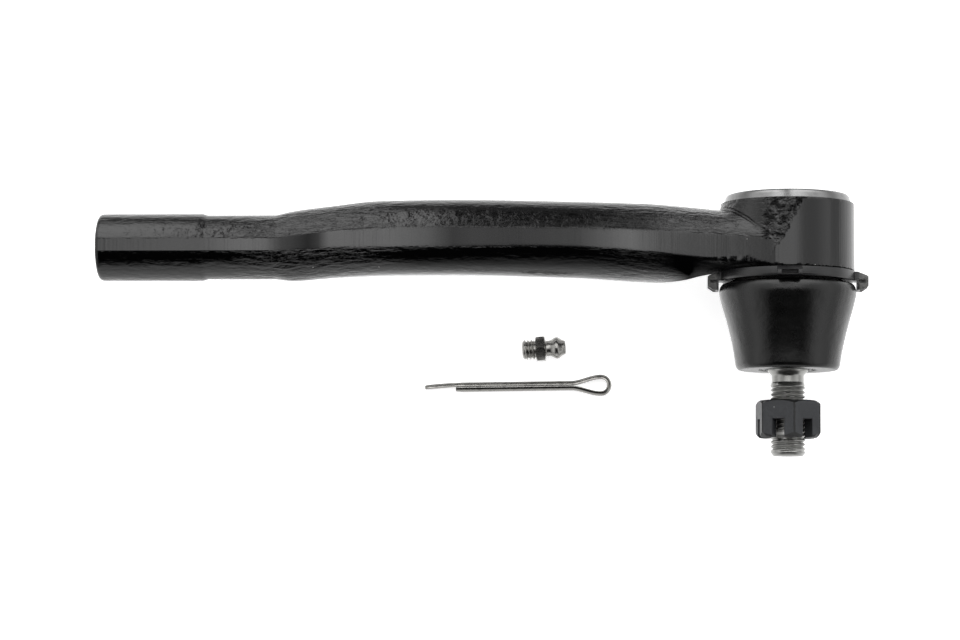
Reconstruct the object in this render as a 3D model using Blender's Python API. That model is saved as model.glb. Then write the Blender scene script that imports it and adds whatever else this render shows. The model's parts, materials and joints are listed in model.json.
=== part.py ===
"""Outer tie rod end, built lying on its side as an assembly of separate solids.

Metres, +Z up. The arm runs along X with the ball housing at its +X end, and the stud points
along -Y. The origin is the bottom centre of the whole object. Every piece is modelled round
the empty "ball_centre", which is the centre of the ball joint and lies on the arm's axis.
"""
import math

import bmesh
import bpy
from mathutils import Matrix, Vector

MM = 0.001
MERGE = 0.001 * MM

# Arm: tube end, waist and the stations of the curved part, measured from the ball centre.
TUBE_END = 200.5 * MM
TUBE_RADIUS = 9.85 * MM
TUBE_CHAMFER = 1.4 * MM
TUBE_STEP = 170.0 * MM
WAIST_HALF_HEIGHT = 9.4 * MM
WAIST_START = 168.5 * MM
WAIST_END = 148.6 * MM
ARM_TOP = [(-148.6, 9.4), (-143.0, 10.6), (-132.0, 12.0), (-118.0, 13.5), (-98.0, 13.8),
           (-61.0, 13.1), (-40.0, 12.3), (-20.0, 10.2), (-11.5, 9.2), (-3.8, 3.0)]
ARM_BOTTOM = [(-148.6, -9.4), (-144.0, -9.9), (-130.6, -8.9), (-115.0, -8.3), (-98.0, -8.2),
              (-61.0, -9.1), (-38.0, -10.3), (-31.0, -9.6), (-26.0, -8.3), (-22.0, -7.3), (-3.8, -7.1)]
ARM_HALF_WIDTH = [(-148.6, 9.6), (-98.0, 11.0), (-48.0, 12.0), (-38.0, 12.6), (-30.0, 13.8),
                  (-12.0, 17.2), (-3.8, 18.75)]
PARTING_LINE = [(-148.6, -0.3), (-132.0, 1.2), (-110.0, 1.9), (-54.0, 1.3), (-36.0, 0.2),
                (-22.0, -0.8), (-14.0, -2.1), (-3.8, -3.4)]
FLASH_HALF_HEIGHT = [(-148.6, 1.9), (-112.0, 2.8), (-54.0, 2.8), (-36.0, 3.2), (-3.8, 3.5)]
TUBE_FLASH_HALF_HEIGHT = 1.9 * MM
ARM_STATIONS = 34
ARM_INSIDE_HOUSING = 3.8 * MM
SECTION_STEPS = 10

# Female thread in the tube end, M14 x 1.5, as a smooth bore at the thread's minor diameter.
TUBE_BORE_RADIUS = 6.2 * MM
TUBE_BORE_DEPTH = 48.0 * MM
TUBE_BORE_MOUTH = 7.2 * MM

# Ball housing, a ring round the Y axis.
HOUSING_RADIUS = 19.2 * MM
HOUSING_BOTTOM = -7.25 * MM
HOUSING_SHOULDER = 12.2 * MM
HOUSING_EDGE = 0.6 * MM
LIP_RADIUS = 18.0 * MM
LIP_TOP = 14.8 * MM
LIP_ROUNDING = 1.1 * MM
LIP_OPENING = 14.3 * MM
SEAT_RADIUS = 15.5 * MM
SEAT_FLOOR = -4.4 * MM
STUD_OPENING = 9.8 * MM
STUD_OPENING_FLARE = 10.4 * MM
COVER_SEAT_RADIUS = 16.4 * MM
COVER_SEAT = 12.4 * MM

# Ball joint.
BALL_RADIUS = 10.5 * MM
BALL_FLAT = 9.3 * MM
RACE_RADIUS = 10.62 * MM
BEARING_RADIUS = 15.3 * MM
LOWER_BEARING_BOTTOM = -4.25 * MM
LOWER_BEARING_TOP = 1.6 * MM
UPPER_BEARING_BOTTOM = 2.0 * MM
UPPER_BEARING_TOP = 11.0 * MM
UPPER_BEARING_HOLE = 4.5 * MM
UPPER_BEARING_TOP_RADIUS = 13.6 * MM
SPRING_INNER_RADIUS = 7.0 * MM
SPRING_OUTER_RADIUS = 13.6 * MM
SPRING_BOTTOM = 11.15 * MM
SPRING_RISE = 0.45 * MM
SPRING_THICKNESS = 0.7 * MM
COVER_RADIUS = 16.2 * MM
COVER_BOTTOM = 12.55 * MM
COVER_THICKNESS = 1.4 * MM
COVER_HOLE_RADIUS = 3.1 * MM
COVER_PLAY = 0.15 * MM

# Stud.
NECK_RADIUS = 6.0 * MM
TAPER_START = -19.0 * MM
TAPER_LARGE_RADIUS = 6.85 * MM
TAPER_END = -36.2 * MM
TAPER_SMALL_RADIUS = 5.78 * MM
UNDERCUT_RADIUS = 4.6 * MM
UNDERCUT_START = -37.4 * MM
THREAD_START = -38.7 * MM
THREAD_RADIUS = 5.0 * MM
THREAD_ROOT_RADIUS = 4.3 * MM
THREAD_PITCH = 1.25 * MM
STUD_END = -60.5 * MM
STUD_END_CHAMFER = 0.9 * MM
COTTER_HOLE_Y = -54.6 * MM
COTTER_HOLE_RADIUS = 1.6 * MM
COTTER_HOLE_TURN = math.radians(-28.0)

# Castle nut.
NUT_ACROSS_FLATS = 17.0 * MM
NUT_SEAT = -44.6 * MM
NUT_END = -55.3 * MM
NUT_BORE_RADIUS = 5.2 * MM
NUT_TURN = math.radians(-20.9)
NUT_CHAMFER_RADIUS = 8.2 * MM
NUT_CHAMFER_SLOPE = 0.85
NUT_SLOT_WIDTH = 3.6 * MM
NUT_SLOT_DEPTH = 5.3 * MM

# Boot retaining ring with its four slotted ears.
RING_RADIUS = 19.4 * MM
RING_INNER_RADIUS = 16.4 * MM
RING_TOP = -7.5 * MM
RING_BOTTOM = -10.3 * MM
EAR_COUNT = 4
EAR_RADIUS = 23.0 * MM
EAR_WIDTH = 7.0 * MM
EAR_DROP = 1.2 * MM
EAR_SLOT_WIDTH = 4.8 * MM
EAR_SLOT_HEIGHT = 1.3 * MM
EAR_SLOT_DEPTH = 2.2 * MM
END_EAR_INNER_RADIUS = 19.8 * MM
END_EAR_OUTER_BOTTOM = -11.8 * MM
END_EAR_BOTTOM = -12.9 * MM
END_EAR_BOTTOM_RADIUS = 21.4 * MM
END_EAR_SLIT = [(20.3, -11.0), (22.2, -11.0), (22.2, -9.9), (20.3, -9.9)]
END_EAR_WEB = [(20.1, -11.4), (22.6, -11.4), (22.6, -9.5), (20.1, -9.5)]
END_EAR_WEB_WIDTH = 1.5 * MM

# Dust boot: outer and inner outlines as (radius, height), from the housing down.
BOOT_OUTER = [(15.9, -7.7), (15.9, -10.7), (18.8, -11.1), (19.4, -11.9), (19.7, -13.9), (18.6, -18.2),
              (17.4, -22.0), (15.6, -29.5), (14.95, -34.4), (14.6, -35.4), (13.9, -35.8)]
BOOT_LIP_RADIUS = 6.4
BOOT_INNER = [(6.4, -34.5), (12.9, -34.3), (13.5, -33.4), (14.3, -28.4), (15.5, -21.0), (16.5, -16.6),
              (17.2, -13.0), (14.3, -11.9), (14.3, -7.7)]
LIP_RING_INNER_RADIUS = 6.45 * MM
LIP_RING_OUTER_RADIUS = 8.0 * MM
LIP_RING_BOTTOM = -34.2 * MM
LIP_RING_TOP = -33.2 * MM

# Loose cotter pin: half-round wire, with its eye towards +X.
PIN_WIRE_RADIUS = 1.4 * MM
PIN_GAP = 0.05 * MM
PIN_EYE_LENGTH = 11.9 * MM
PIN_EYE_INNER_RADIUS = 1.8 * MM
PIN_LONG_LEG = 43.4 * MM
PIN_SHORT_LEG = 34.3 * MM
PIN_TAIL_BEND = 0.6 * MM
PIN_CROTCH_PLACE = Vector((-63.0 * MM, -38.9 * MM, 0))
PIN_TURN = math.radians(0.9)

# Loose grease fitting, M6 x 1: (radius, distance along its axis) from the thread's end.
FITTING_OUTLINE = [(2.4, 0.0), (3.0, 0.5), (3.0, 3.4), (2.6, 3.5), (2.6, 3.9), (3.4, 3.9), (3.4, 6.8),
                   (2.3, 6.9), (2.3, 8.4), (2.7, 9.2), (3.2, 9.9), (3.25, 10.5), (2.4, 11.9), (1.7, 12.8)]
FITTING_BORE_RADIUS = 1.5 * MM
FITTING_MOUTH_RADIUS = 0.75 * MM
FITTING_MOUTH_DEPTH = 0.9 * MM
FITTING_LENGTH = 12.8 * MM
FITTING_HEX_ACROSS_FLATS = 7.0 * MM
FITTING_HEX_START = 3.9 * MM
FITTING_HEX_END = 6.8 * MM
FITTING_HEX_TURN = math.radians(30.0)
FITTING_PLACE = Vector((-77.4 * MM, -28.6 * MM, 0))
FITTING_TURN = math.radians(4.0)
CHECK_BALL_RADIUS = 1.1 * MM
CHECK_BALL_GAP = 0.15 * MM
CHECK_SPRING_WIRE = 0.15 * MM
CHECK_SPRING_RADIUS = 1.0 * MM
CHECK_SPRING_TURNS = 6

# The object's box: the ears reach lowest and furthest along +X.
BALL_CENTRE = Vector(((TUBE_END - EAR_RADIUS) / 2, (-STUD_END - LIP_TOP) / 2, EAR_RADIUS))
FLOOR = -EAR_RADIUS

COARSE = 24
FINE = 48


def clear_scene():
    for obj in list(bpy.data.objects):
        bpy.data.objects.remove(obj)


def principled(name, colour, roughness, metallic):
    material = bpy.data.materials.new(name)
    material.use_nodes = True
    shader = material.node_tree.nodes["Principled BSDF"]
    shader.inputs["Base Color"].default_value = (*colour, 1.0)
    shader.inputs["Roughness"].default_value = roughness
    shader.inputs["Metallic"].default_value = metallic
    material.diffuse_color = (*colour, 1.0)
    return material


def place(name, bm, parent, material=None):
    """Turn a bmesh into an object under parent, with outward normals."""
    bmesh.ops.recalc_face_normals(bm, faces=bm.faces)
    mesh = bpy.data.meshes.new(name)
    bm.to_mesh(mesh)
    bm.free()
    obj = bpy.data.objects.new(name, mesh)
    bpy.context.collection.objects.link(obj)
    obj.parent = parent
    if material:
        mesh.materials.append(material)
    return obj


def empty(name, parent=None, location=(0, 0, 0), turn=0.0):
    obj = bpy.data.objects.new(name, None)
    bpy.context.collection.objects.link(obj)
    obj.parent = parent
    obj.location = location
    obj.rotation_euler.z = turn
    return obj


def revolve(outline, steps, axis="Y"):
    """Solid of revolution about Y or X from a closed outline of (radius, height) points."""
    bm = bmesh.new()
    verts = [bm.verts.new((radius, height, 0)) for radius, height in outline]
    edges = [bm.edges.new((a, b)) for a, b in zip(verts, verts[1:] + verts[:1]) if a.co.x or b.co.x]
    bmesh.ops.spin(bm, geom=verts + edges, axis=(0, 1, 0), cent=(0, 0, 0),
                   angle=2 * math.pi, steps=steps, use_merge=True)
    bmesh.ops.remove_doubles(bm, verts=bm.verts, dist=MERGE)
    if axis == "X":
        bmesh.ops.rotate(bm, verts=bm.verts, matrix=Matrix.Rotation(-math.pi / 2, 3, "Z"))
    return bm


def millimetres(points):
    return [(a * MM, b * MM) for a, b in points]


def cut(obj, tool, operation="DIFFERENCE"):
    """Boolean obj with tool, and hide the tool."""
    tool.hide_render = True
    tool.display_type = "WIRE"
    tool.hide_set(True)
    modifier = obj.modifiers.new(tool.name, "BOOLEAN")
    modifier.object = tool
    modifier.operation = operation


def keep_result(obj):
    """Bake obj's modifiers into its mesh and remove the tools they used."""
    tools = [modifier.object for modifier in obj.modifiers]
    evaluated = obj.evaluated_get(bpy.context.evaluated_depsgraph_get())
    mesh = bpy.data.meshes.new_from_object(evaluated)
    obj.modifiers.clear()
    obj.data = mesh
    for tool in tools:
        bpy.data.objects.remove(tool)


def smooth_curve(points, x):
    """Height at x of a smooth curve through points (monotone cubic, in millimetres)."""
    slopes = [(b[1] - a[1]) / (b[0] - a[0]) for a, b in zip(points, points[1:])]
    tangents = [slopes[0]]
    for left, right in zip(slopes, slopes[1:]):
        tangents.append(0.0 if left * right <= 0 else 2 * left * right / (left + right))
    tangents.append(slopes[-1])
    for i, (a, b) in enumerate(zip(points, points[1:])):
        if x <= b[0] or i == len(slopes) - 1:
            width = b[0] - a[0]
            t = min(max((x - a[0]) / width, 0.0), 1.0)
            return ((2 * t**3 - 3 * t**2 + 1) * a[1] + (t**3 - 2 * t**2 + t) * width * tangents[i]
                    + (3 * t**2 - 2 * t**3) * b[1] + (t**3 - t**2) * width * tangents[i + 1])


def arm_section(bm, x, top, bottom, middle, half_width, flash):
    """Ring of vertices: an oval whose sides are cut flat where the forging's flash was trimmed."""
    verts = []
    for height in (top - middle, bottom - middle):
        start = math.asin(flash / abs(height))
        depth = half_width / math.cos(start)
        for step in range(SECTION_STEPS + 1):
            angle = start + (math.pi - 2 * start) * step / SECTION_STEPS
            side = math.copysign(depth, height) * math.cos(angle)
            verts.append(bm.verts.new((x, middle + height * math.sin(angle), side)))
    return verts


def loft(bm, rings):
    """Bridge rings of equal length with quads and close both ends."""
    for near, far in zip(rings, rings[1:]):
        for i in range(len(near)):
            j = (i + 1) % len(near)
            bm.faces.new((near[i], near[j], far[j], far[i]))
    bm.faces.new(rings[0])
    bm.faces.new(rings[-1])


def arm_loft():
    bm = bmesh.new()
    rings = []
    tube_flat = math.sqrt(TUBE_RADIUS**2 - TUBE_FLASH_HALF_HEIGHT**2)
    for x, half_height, flat in ((TUBE_END, TUBE_RADIUS - TUBE_CHAMFER, tube_flat - TUBE_CHAMFER),
                                 (TUBE_END - TUBE_CHAMFER, TUBE_RADIUS, tube_flat),
                                 (TUBE_STEP, TUBE_RADIUS, tube_flat),
                                 (WAIST_START, WAIST_HALF_HEIGHT, tube_flat)):
        rings.append(arm_section(bm, -x, half_height, -half_height, 0, flat, TUBE_FLASH_HALF_HEIGHT))
    curves = (ARM_TOP, ARM_BOTTOM, PARTING_LINE, ARM_HALF_WIDTH, FLASH_HALF_HEIGHT)
    for station in range(ARM_STATIONS + 1):
        x = -WAIST_END + (WAIST_END - ARM_INSIDE_HOUSING) * station / ARM_STATIONS
        rings.append(arm_section(bm, x, *(smooth_curve(curve, x / MM) * MM for curve in curves)))
    loft(bm, rings)
    return bm


def build_forged_arm(parent):
    arm = place("forged_arm", arm_loft(), parent,
                principled("black_painted_forging", (0.018, 0.018, 0.02), 0.42, 0.0))
    edge = HOUSING_EDGE
    housing = [(0, HOUSING_BOTTOM), (HOUSING_RADIUS - edge, HOUSING_BOTTOM),
               (HOUSING_RADIUS, HOUSING_BOTTOM + edge), (HOUSING_RADIUS, HOUSING_SHOULDER - edge),
               (HOUSING_RADIUS - edge, HOUSING_SHOULDER),
               (LIP_RADIUS, HOUSING_SHOULDER), (LIP_RADIUS, LIP_TOP - LIP_ROUNDING),
               (LIP_RADIUS - LIP_ROUNDING, LIP_TOP), (0, LIP_TOP)]
    cut(arm, place("housing_tool", revolve(housing, FINE), parent), "UNION")
    past = 2 * MM
    cover_top = COVER_BOTTOM + COVER_THICKNESS + COVER_PLAY
    cavity = [(0, HOUSING_BOTTOM - past), (STUD_OPENING_FLARE, HOUSING_BOTTOM - past),
              (STUD_OPENING_FLARE, HOUSING_BOTTOM), (STUD_OPENING, SEAT_FLOOR), (SEAT_RADIUS, SEAT_FLOOR),
              (SEAT_RADIUS, COVER_SEAT), (COVER_SEAT_RADIUS, COVER_SEAT),
              (COVER_SEAT_RADIUS, cover_top), (LIP_OPENING, cover_top), (LIP_OPENING, LIP_TOP + past),
              (0, LIP_TOP + past)]
    cut(arm, place("cavity_tool", revolve(cavity, FINE), parent))
    mouth_depth = TUBE_BORE_MOUTH - TUBE_BORE_RADIUS
    bore = [(0, -TUBE_END - past), (TUBE_BORE_MOUTH, -TUBE_END - past), (TUBE_BORE_MOUTH, -TUBE_END),
            (TUBE_BORE_RADIUS, -TUBE_END + mouth_depth), (TUBE_BORE_RADIUS, -TUBE_END + TUBE_BORE_DEPTH),
            (0, -TUBE_END + TUBE_BORE_DEPTH + 0.5 * TUBE_BORE_RADIUS)]
    cut(arm, place("bore_tool", revolve(bore, FINE, "X"), parent))
    keep_result(arm)


def build_cover_plate(parent):
    top = COVER_BOTTOM + COVER_THICKNESS
    outline = [(COVER_HOLE_RADIUS, COVER_BOTTOM), (COVER_RADIUS, COVER_BOTTOM), (COVER_RADIUS, top),
               (COVER_HOLE_RADIUS, top)]
    place("cover_plate", revolve(outline, FINE), parent,
          principled("zinc_cover", (0.55, 0.54, 0.5), 0.4, 1.0))


def sphere_arc(radius, low, high, steps):
    """Points (radius, height) on a sphere's outline between two heights."""
    first = math.asin(low / radius)
    last = math.asin(high / radius)
    angles = [first + (last - first) * i / steps for i in range(steps + 1)]
    return [(radius * math.cos(angle), radius * math.sin(angle)) for angle in angles]


def build_bearings(parent):
    hole_height = math.sqrt(RACE_RADIUS**2 - UPPER_BEARING_HOLE**2)
    upper = sphere_arc(RACE_RADIUS, UPPER_BEARING_BOTTOM, hole_height, 8)
    upper += [(UPPER_BEARING_HOLE, UPPER_BEARING_TOP), (UPPER_BEARING_TOP_RADIUS, UPPER_BEARING_TOP),
              (BEARING_RADIUS, UPPER_BEARING_TOP - 2.5 * MM), (BEARING_RADIUS, UPPER_BEARING_BOTTOM)]
    place("upper_bearing", revolve(upper, FINE), parent,
          principled("upper_race", (0.4, 0.4, 0.42), 0.35, 1.0))
    lower = sphere_arc(RACE_RADIUS, LOWER_BEARING_BOTTOM, LOWER_BEARING_TOP, 5)
    lower += [(BEARING_RADIUS, LOWER_BEARING_TOP), (BEARING_RADIUS, LOWER_BEARING_BOTTOM)]
    place("lower_bearing", revolve(lower, FINE), parent,
          principled("lower_race", (0.42, 0.42, 0.44), 0.35, 1.0))


def build_preload_spring(parent):
    outline = [(SPRING_OUTER_RADIUS, SPRING_BOTTOM), (SPRING_OUTER_RADIUS, SPRING_BOTTOM + SPRING_THICKNESS),
               (SPRING_INNER_RADIUS, SPRING_BOTTOM + SPRING_RISE + SPRING_THICKNESS),
               (SPRING_INNER_RADIUS, SPRING_BOTTOM + SPRING_RISE)]
    place("preload_spring", revolve(outline, FINE), parent,
          principled("spring_steel", (0.3, 0.3, 0.32), 0.3, 1.0))


def build_ball_stud(parent):
    ball_bottom = -math.sqrt(BALL_RADIUS**2 - NECK_RADIUS**2)
    outline = [(0, BALL_FLAT)]
    outline += reversed(sphere_arc(BALL_RADIUS, ball_bottom, BALL_FLAT, 16))
    outline += [(NECK_RADIUS, TAPER_START + 1.5 * MM), (TAPER_LARGE_RADIUS, TAPER_START),
                (TAPER_SMALL_RADIUS, TAPER_END), (UNDERCUT_RADIUS, UNDERCUT_START),
                (UNDERCUT_RADIUS, THREAD_START)]
    crest = THREAD_START - THREAD_PITCH / 2
    while crest > STUD_END + 2 * THREAD_PITCH:
        outline += [(THREAD_RADIUS, crest), (THREAD_ROOT_RADIUS, crest - THREAD_PITCH / 2)]
        crest -= THREAD_PITCH
    outline += [(THREAD_RADIUS, crest), (THREAD_RADIUS, STUD_END + STUD_END_CHAMFER),
                (THREAD_RADIUS - STUD_END_CHAMFER, STUD_END), (0, STUD_END)]
    stud = place("ball_stud", revolve(outline, COARSE), parent,
                 principled("bright_steel", (0.62, 0.61, 0.58), 0.28, 1.0))
    bm = bmesh.new()
    radius = COTTER_HOLE_RADIUS
    bmesh.ops.create_cone(bm, cap_ends=True, segments=16, radius1=radius, radius2=radius,
                          depth=4 * THREAD_RADIUS)
    bmesh.ops.rotate(bm, verts=bm.verts, matrix=Matrix.Rotation(COTTER_HOLE_TURN, 3, "Y"))
    bmesh.ops.translate(bm, verts=bm.verts, vec=(0, COTTER_HOLE_Y, 0))
    cut(stud, place("cotter_hole_tool", bm, parent))
    keep_result(stud)


def hexagon(across_flats, low, high):
    """Hexagonal prism along Y, with a face towards +Z."""
    bm = bmesh.new()
    radius = across_flats / math.sqrt(3)
    bmesh.ops.create_cone(bm, cap_ends=True, segments=6, radius1=radius, radius2=radius, depth=high - low)
    bmesh.ops.rotate(bm, verts=bm.verts, matrix=Matrix.Rotation(math.pi / 2, 3, "X"))
    bmesh.ops.rotate(bm, verts=bm.verts, matrix=Matrix.Rotation(math.pi / 6, 3, "Y"))
    bmesh.ops.translate(bm, verts=bm.verts, vec=(0, (low + high) / 2, 0))
    return bm


def build_castle_nut(parent):
    middle = (NUT_SEAT + NUT_END) / 2
    holder = empty("nut_axis", parent, (0, middle, 0))
    holder.rotation_euler.y = NUT_TURN
    half = (NUT_SEAT - NUT_END) / 2
    nut = place("castle_nut", hexagon(NUT_ACROSS_FLATS, -half, half), holder,
                principled("phosphate", (0.045, 0.047, 0.05), 0.55, 0.4))
    reach = 4 * MM
    slant = reach * NUT_CHAMFER_SLOPE
    chamfers = [(0, -half), (NUT_CHAMFER_RADIUS, -half), (NUT_CHAMFER_RADIUS + reach, slant - half),
                (NUT_CHAMFER_RADIUS + reach, half - slant), (NUT_CHAMFER_RADIUS, half), (0, half)]
    cut(nut, place("chamfer_tool", revolve(chamfers, FINE), holder), "INTERSECT")
    bore = [(0, -2 * half), (NUT_BORE_RADIUS, -2 * half), (NUT_BORE_RADIUS, 2 * half), (0, 2 * half)]
    cut(nut, place("nut_bore_tool", revolve(bore, COARSE), holder))
    for i in range(3):
        bm = bmesh.new()
        bmesh.ops.create_cube(bm, size=1)
        bmesh.ops.scale(bm, verts=bm.verts, vec=(NUT_SLOT_WIDTH, 2 * NUT_SLOT_DEPTH, 2 * NUT_ACROSS_FLATS))
        bmesh.ops.rotate(bm, verts=bm.verts, matrix=Matrix.Rotation(i * math.pi / 3, 3, "Y"))
        bmesh.ops.translate(bm, verts=bm.verts, vec=(0, -half, 0))
        cut(nut, place(f"slot_tool_{i}", bm, holder))
    keep_result(nut)


def prism(outline, width):
    """Extrude an outline of (radius, height) points, centred, along Z."""
    bm = bmesh.new()
    verts = [bm.verts.new((radius, height, -width / 2)) for radius, height in outline]
    face = bm.faces.new(verts)
    extruded = bmesh.ops.extrude_face_region(bm, geom=[face])["geom"]
    moved = [v for v in extruded if isinstance(v, bmesh.types.BMVert)]
    bmesh.ops.translate(bm, verts=moved, vec=(0, 0, width))
    return bm


def ear_outline(bottom):
    root = RING_RADIUS - 1.2 * MM
    top = [(root, RING_TOP - 0.2 * MM), (RING_RADIUS + 0.4 * MM, RING_TOP - 0.2 * MM),
           (EAR_RADIUS, RING_TOP - EAR_DROP)]
    return top + bottom + [(root, RING_BOTTOM + 0.1 * MM)]


def build_boot_retaining_ring(parent):
    """Ring with four slotted ears; the two along the arm hang lower and have a slit closed by a web."""
    outline = [(RING_INNER_RADIUS, RING_TOP), (RING_RADIUS, RING_TOP), (RING_RADIUS, RING_BOTTOM),
               (RING_INNER_RADIUS, RING_BOTTOM)]
    ring = place("boot_retaining_ring", revolve(outline, FINE), parent,
                 principled("black_ring", (0.03, 0.03, 0.033), 0.4, 0.2))
    side_ear = ear_outline([(EAR_RADIUS, RING_BOTTOM + 0.1 * MM)])
    end_ear = ear_outline([(EAR_RADIUS, END_EAR_OUTER_BOTTOM), (END_EAR_BOTTOM_RADIUS, END_EAR_BOTTOM),
                           (END_EAR_INNER_RADIUS, END_EAR_BOTTOM),
                           (END_EAR_INNER_RADIUS, RING_BOTTOM + 0.1 * MM)])
    slot_low = END_EAR_BOTTOM - 1 * MM
    slot_high = RING_BOTTOM + EAR_SLOT_HEIGHT
    slot = [(EAR_RADIUS - EAR_SLOT_DEPTH, slot_low), (EAR_RADIUS + 1 * MM, slot_low),
            (EAR_RADIUS + 1 * MM, slot_high), (EAR_RADIUS - EAR_SLOT_DEPTH, slot_high)]
    for i in range(EAR_COUNT):
        along_arm = i % 2 == 0
        tools = [("ear", end_ear if along_arm else side_ear, EAR_WIDTH, "UNION"),
                 ("ear_slot", slot, EAR_SLOT_WIDTH, "DIFFERENCE")]
        if along_arm:
            tools.append(("ear_slit", millimetres(END_EAR_SLIT), EAR_WIDTH + 1 * MM, "DIFFERENCE"))
            tools.append(("ear_web", millimetres(END_EAR_WEB), END_EAR_WEB_WIDTH, "UNION"))
        turn = Matrix.Rotation(2 * math.pi * i / EAR_COUNT, 3, "Y")
        for label, shape, width, operation in tools:
            bm = prism(shape, width)
            bmesh.ops.rotate(bm, verts=bm.verts, matrix=turn)
            cut(ring, place(f"{label}_tool_{i}", bm, parent), operation)
    keep_result(ring)


def build_dust_boot(parent):
    bottom = BOOT_OUTER[-1][1]
    outline = BOOT_OUTER + [(BOOT_LIP_RADIUS, bottom)] + BOOT_INNER
    place("dust_boot", revolve(millimetres(outline), FINE), parent,
          principled("black_rubber", (0.02, 0.02, 0.02), 0.6, 0.0))
    ring = [(LIP_RING_INNER_RADIUS, LIP_RING_BOTTOM), (LIP_RING_OUTER_RADIUS, LIP_RING_BOTTOM),
            (LIP_RING_OUTER_RADIUS, LIP_RING_TOP), (LIP_RING_INNER_RADIUS, LIP_RING_TOP)]
    place("boot_lip_ring", revolve(ring, FINE), parent, principled("plated_ring", (0.5, 0.5, 0.5), 0.35, 1.0))


def pin_path():
    """Inner line of the pin's wire as (point, outward direction), from the long leg's end round."""
    eye_end = PIN_EYE_LENGTH - PIN_WIRE_RADIUS
    centre = Vector((eye_end - PIN_EYE_INNER_RADIUS, 0))
    upper = [Vector((-PIN_LONG_LEG, PIN_GAP - PIN_TAIL_BEND)), Vector((-PIN_SHORT_LEG, PIN_GAP)),
             Vector((0, PIN_GAP))]
    curve_start = Vector((0, PIN_GAP))
    curve_end = centre + Vector((0, PIN_EYE_INNER_RADIUS))
    for i in range(1, 7):
        t = i / 6
        ease = t * t * (3 - 2 * t)
        upper.append(Vector((curve_end.x * t, curve_start.y + (curve_end.y - curve_start.y) * ease)))
    arc = [centre + PIN_EYE_INNER_RADIUS * Vector((math.sin(a), math.cos(a)))
           for a in (math.pi * i / 8 for i in range(1, 8))]
    lower = [Vector((p.x, -p.y)) for p in reversed(upper[1:])]
    points = upper + arc + lower
    path = []
    for i, point in enumerate(points):
        along = points[min(i + 1, len(points) - 1)] - points[max(i - 1, 0)]
        path.append((point, Vector((-along.y, along.x)).normalized()))
    return path


def build_cotter_pin(parent):
    location = PIN_CROTCH_PLACE + Vector((0, 0, FLOOR + PIN_WIRE_RADIUS))
    holder = empty("cotter_pin_place", parent, location, PIN_TURN)
    bm = bmesh.new()
    rings = []
    steps = 8
    for point, outward in pin_path():
        ring = []
        for step in range(steps + 1):
            angle = math.pi * step / steps
            flat = point + outward * PIN_WIRE_RADIUS * math.sin(angle)
            ring.append(bm.verts.new((flat.x, flat.y, PIN_WIRE_RADIUS * math.cos(angle))))
        rings.append(ring)
    loft(bm, rings)
    place("cotter_pin", bm, holder, principled("zinc_pin", (0.6, 0.59, 0.56), 0.35, 1.0))


def build_grease_fitting(parent):
    """The fitting lies along +X from its thread's end; its check ball closes the mouth."""
    hex_reach = FITTING_HEX_ACROSS_FLATS / math.sqrt(3)
    lowest = hex_reach * math.cos(FITTING_HEX_TURN - math.pi / 6)
    lift = Vector((0, 0, FLOOR + lowest))
    holder = empty("grease_fitting_place", parent, FITTING_PLACE + lift, FITTING_TURN)
    ball_seat = FITTING_LENGTH - FITTING_MOUTH_DEPTH
    bore = [(FITTING_MOUTH_RADIUS, FITTING_LENGTH), (FITTING_MOUTH_RADIUS, ball_seat),
            (FITTING_BORE_RADIUS, ball_seat - 0.9 * MM), (FITTING_BORE_RADIUS, 0)]
    body = place("grease_fitting_body", revolve(millimetres(FITTING_OUTLINE) + bore, COARSE, "X"), holder,
                 principled("zinc_fitting", (0.7, 0.69, 0.66), 0.2, 1.0))
    bm = hexagon(FITTING_HEX_ACROSS_FLATS, FITTING_HEX_START, FITTING_HEX_END)
    bmesh.ops.rotate(bm, verts=bm.verts, matrix=Matrix.Rotation(FITTING_HEX_TURN, 3, "Y"))
    bmesh.ops.rotate(bm, verts=bm.verts, matrix=Matrix.Rotation(-math.pi / 2, 3, "Z"))
    cut(body, place("fitting_hex_tool", bm, holder), "UNION")
    clear_bore = [(0, FITTING_HEX_START - 1 * MM), (FITTING_BORE_RADIUS, FITTING_HEX_START - 1 * MM),
                  (FITTING_BORE_RADIUS, FITTING_HEX_END + 1 * MM), (0, FITTING_HEX_END + 1 * MM)]
    cut(body, place("fitting_bore_tool", revolve(clear_bore, COARSE, "X"), holder))
    keep_result(body)

    ball_x = ball_seat - 0.9 * MM - CHECK_BALL_GAP
    bm = bmesh.new()
    bmesh.ops.create_icosphere(bm, subdivisions=2, radius=CHECK_BALL_RADIUS)
    ball = place("fitting_check_ball", bm, holder, principled("check_ball_steel", (0.7, 0.7, 0.7), 0.15, 1.0))
    ball.location.x = ball_x

    bottom = FITTING_HEX_START
    top = ball_x - CHECK_BALL_RADIUS - CHECK_SPRING_WIRE - CHECK_BALL_GAP
    per_turn = 12
    bm = bmesh.new()
    rings = []
    for i in range(CHECK_SPRING_TURNS * per_turn + 1):
        angle = 2 * math.pi * i / per_turn
        centre = Vector((bottom + (top - bottom) * i / (CHECK_SPRING_TURNS * per_turn),
                         CHECK_SPRING_RADIUS * math.cos(angle), CHECK_SPRING_RADIUS * math.sin(angle)))
        outward = Vector((0, math.cos(angle), math.sin(angle)))
        side = Vector((1, 0, 0))
        rings.append([bm.verts.new(centre + CHECK_SPRING_WIRE * (outward * math.cos(a) + side * math.sin(a)))
                      for a in (2 * math.pi * j / 5 for j in range(5))])
    loft(bm, rings)
    place("fitting_check_spring", bm, holder, principled("check_spring_wire", (0.5, 0.5, 0.52), 0.3, 1.0))


def build():
    clear_scene()
    ball_centre = empty("ball_centre", None, BALL_CENTRE)
    for build_piece in (build_forged_arm, build_cover_plate, build_bearings, build_preload_spring,
                        build_ball_stud, build_castle_nut, build_boot_retaining_ring,
                        build_dust_boot, build_cotter_pin, build_grease_fitting):
        build_piece(ball_centre)


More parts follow.
